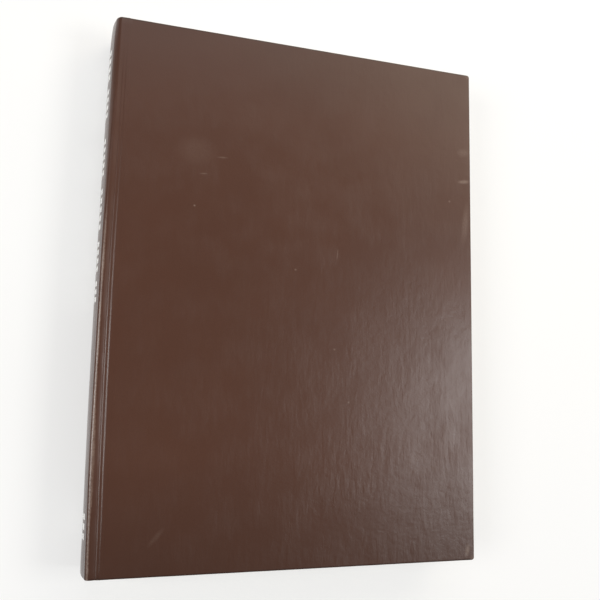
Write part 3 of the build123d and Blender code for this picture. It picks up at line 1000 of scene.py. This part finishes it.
class BOOK_OT_leaves(bpy.types.Operator):
    """Stacks the trimmed leaves in packs, rounded at the spine and hollow at the fore-edge"""

    bl_idname = "book.leaves"
    bl_label = "Leaves"

    def execute(self, context):
        settings = context.scene.book_paper
        thick = 2 * (BLOCK_TOP - MIDDLE) * MM
        count = round(thick / settings.pack)
        pitch = (thick - STACK_ROOM * MM) / count
        top_shift = BLOCK_R - math.sqrt(BLOCK_R**2 - (LEAF_FAN * thick / 2 / MM) ** 2)
        spine_edge = SPINE_X - BLOCK_R
        fore_edge = COVER_WIDTH - SQUARE - top_shift
        piece = mesh_from_nodes(
            leaf_tree(), "leaf_packs", Count=count, Pitch=pitch, Bottom=MIDDLE * MM - thick / 2 + pitch / 2,
            Middle=MIDDLE * MM, Width=(fore_edge - spine_edge) * MM, Height=2 * HALF_PAGE * MM,
            Fore_edge=(EDGE_X + fore_edge) * MM, Radius=BLOCK_R * MM, Fan=LEAF_FAN,
            Joint=(EDGE_X + GROOVE_X) * MM, Slope=math.tan(SLOPE), Stray=settings.stray, Seed=SEED,
            Material=leaves_material())
        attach(piece, "text_block")
        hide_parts("text_block")
        return {"FINISHED"}


class BOOK_OT_headbands(bpy.types.Operator):
    """Wraps thread round the bead of each headband"""

    bl_idname = "book.headbands"
    bl_label = "Headbands"

    def execute(self, context):
        settings = context.scene.book_headband
        thread = woven_material("band_thread", settings.colour, 0.3, 0.75)
        tape = woven_material("band_tape", linear("#CFC2A0"), 0.6, 0.9)
        path = (BLOCK_R - BEAD_INSET) * MM
        low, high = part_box("headband")
        half_angle = math.asin(((high[2] - low[2]) / 2 - BEAD_MARGIN * MM) / path)
        count = round(2 * half_angle * path / settings.thread)
        tree = thread_tree()
        for end, sign in (("headband", 1), ("tailband", -1)):
            piece = mesh_from_nodes(
                tree, f"{end}_thread", Count=count, Path_radius=path, Half_angle=half_angle * THREAD_SPAN,
                Bead_radius=THREAD_PATH * MM, Thread_radius=settings.thread * THREAD_SHARE, Material=thread)
            for vert in piece.data.vertices:
                x, y, z = vert.co
                vert.co.x = (EDGE_X + SPINE_X) * MM + x
                vert.co.y = sign * ((HALF_PAGE + BEAD) * MM - z)
                vert.co.z = MIDDLE * MM - sign * y
            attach(piece, "text_block")
            repaint(end, tape)
        return {"FINISHED"}


class BOOK_OT_linings(bpy.types.Operator):
    """Finishes the boards and the linings inside the case"""

    bl_idname = "book.linings"
    bl_label = "Boards and linings"

    def execute(self, context):
        board = paper_material("dense_greyboard", linear("#7D776C"), 0.9, 1.5, 0.08)
        repaint("front_board", board)
        repaint("back_board", board)
        repaint("spine_liner", paper_material("brown_kraft", linear("#A98254"), 0.85, 1.0, 0.04))
        repaint("spine_mull", woven_material("starched_gauze", linear("#DAD7CC"), 0.9, 0.9))
        return {"FINISHED"}


class BOOK_OT_stage(bpy.types.Operator):
    """Sets the white floor, the studio lights and the camera"""

    bl_idname = "book.stage"
    bl_label = "Stage"

    def execute(self, context):
        settings = context.scene.book_stage
        self.floor(settings)
        for light in LIGHTS:
            self.lamp(*light)
        world = bpy.data.worlds.new("studio")
        world.use_nodes = True
        add = partial(add_node, world.node_tree)
        seen = add("ShaderNodeLightPath").outputs["Is Camera Ray"]
        strength = add("ShaderNodeMapRange", None, seen, 0.0, 1.0, ROOM_LIGHT, 1.0)
        set_inputs(world.node_tree.nodes["Background"], Color=(1, 1, 1, 1), Strength=strength)
        context.scene.world = world
        context.scene.view_settings.view_transform = "Standard"
        camera = bpy.data.objects.new("camera", bpy.data.cameras.new("camera"))
        context.scene.collection.objects.link(camera)
        camera.data.lens = settings.lens
        camera.data.sensor_width = 36
        camera.location = CAMERA_PLACE
        back = -Vector(CAMERA_VIEW)
        right = Vector(CAMERA_UP).cross(back).normalized()
        up = back.cross(right).normalized()
        camera.rotation_mode = "QUATERNION"
        camera.rotation_quaternion = Matrix((right, up, back.normalized())).transposed().to_quaternion()
        context.scene.camera = camera
        return {"FINISHED"}

    def floor(self, settings):
        """A white floor that shows white to the camera and keeps the book's soft shadow."""
        half = settings.size / 2
        maker = bmesh.new()
        corners = ((-half, -half), (half, -half), (half, half), (-half, half))
        maker.faces.new([maker.verts.new((*corner, -FLOOR_DROP)) for corner in corners])
        material, shader, where, add = new_material("painted_floor", 0.6, settings.floor)
        set_inputs(shader, Specular_IOR_Level=0.2)
        rays = add("ShaderNodeLightPath").outputs
        seen = add("ShaderNodeMath", "MAXIMUM", rays["Is Camera Ray"], rays["Is Glossy Ray"])
        seen = add("ShaderNodeMath", "MAXIMUM", seen, rays["Is Transmission Ray"])
        # The white grows from half at 12 cm off the middle to all of it at 60 cm
        reach = add("ShaderNodeVectorMath", "LENGTH", where)
        white = add("ShaderNodeMapRange", None, reach, 0.12, 0.6, 0.5, 1.0)
        share = add("ShaderNodeMath", "MULTIPLY", seen, white)
        glow = add("ShaderNodeEmission", None, (1, 1, 1, 1), 1.0)
        mix = add("ShaderNodeMixShader", None, share, shader, glow)
        set_inputs(material.node_tree.nodes["Material Output"], Surface=mix)
        floor = finish_mesh("floor", maker, material)

    def lamp(self, name, turn, height, distance, size, power, colour):
        """A square soft light that faces the book, placed by its angles from +X and above the floor."""
        turn = math.radians(turn)
        height = math.radians(height)
        flat = distance * math.cos(height)
        place = (flat * math.cos(turn), flat * math.sin(turn), distance * math.sin(height))
        light = bpy.data.lights.new(name, "AREA")
        light.size = size
        light.energy = power
        light.color = linear(colour)
        lamp = bpy.data.objects.new(name, light)
        bpy.context.scene.collection.objects.link(lamp)
        lamp.location = place
        lamp.rotation_mode = "QUATERNION"
        lamp.rotation_quaternion = Vector(place).to_track_quat("Z", "Y")


class BOOK_PT_panel(bpy.types.Panel):
    """Lists the book's pieces and their settings"""

    bl_idname = "BOOK_PT_panel"
    bl_label = "Hardcover book"
    bl_space_type = "VIEW_3D"
    bl_region_type = "UI"
    bl_category = "Book"

    def draw(self, context):
        for group in SETTINGS:
            box = self.layout.box()
            values = getattr(context.scene, group)
            for key in values.bl_rna.properties.keys():
                if key not in ("rna_type", "name"):
                    box.prop(values, key)
        for operator in OPERATORS:
            self.layout.operator(operator.bl_idname)


SETTINGS = {
    "book_leather": LeatherSettings,
    "book_paper": PaperSettings,
    "book_headband": HeadbandSettings,
    "book_foil": FoilSettings,
    "book_stage": StageSettings,
}
OPERATORS = (
    BOOK_OT_covers,
    BOOK_OT_spine,
    BOOK_OT_foil,
    BOOK_OT_endpapers,
    BOOK_OT_leaves,
    BOOK_OT_headbands,
    BOOK_OT_linings,
    BOOK_OT_stage,
)


def register():
    for name, group in SETTINGS.items():
        bpy.utils.register_class(group)
        setattr(bpy.types.Scene, name, bpy.props.PointerProperty(type=group))
    for operator in OPERATORS:
        bpy.utils.register_class(operator)
    bpy.utils.register_class(BOOK_PT_panel)


def unregister():
    bpy.utils.unregister_class(BOOK_PT_panel)
    for operator in reversed(OPERATORS):
        bpy.utils.unregister_class(operator)
    for name, group in reversed(SETTINGS.items()):
        delattr(bpy.types.Scene, name)
        bpy.utils.unregister_class(group)


def main():
    """Registers the add-on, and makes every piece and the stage."""
    register()
    bpy.ops.book.covers()
    bpy.ops.book.spine()
    bpy.ops.book.foil()
    bpy.ops.book.endpapers()
    bpy.ops.book.leaves()
    bpy.ops.book.headbands()
    bpy.ops.book.linings()
    bpy.ops.book.stage()


if __name__ == "__main__":
    main()
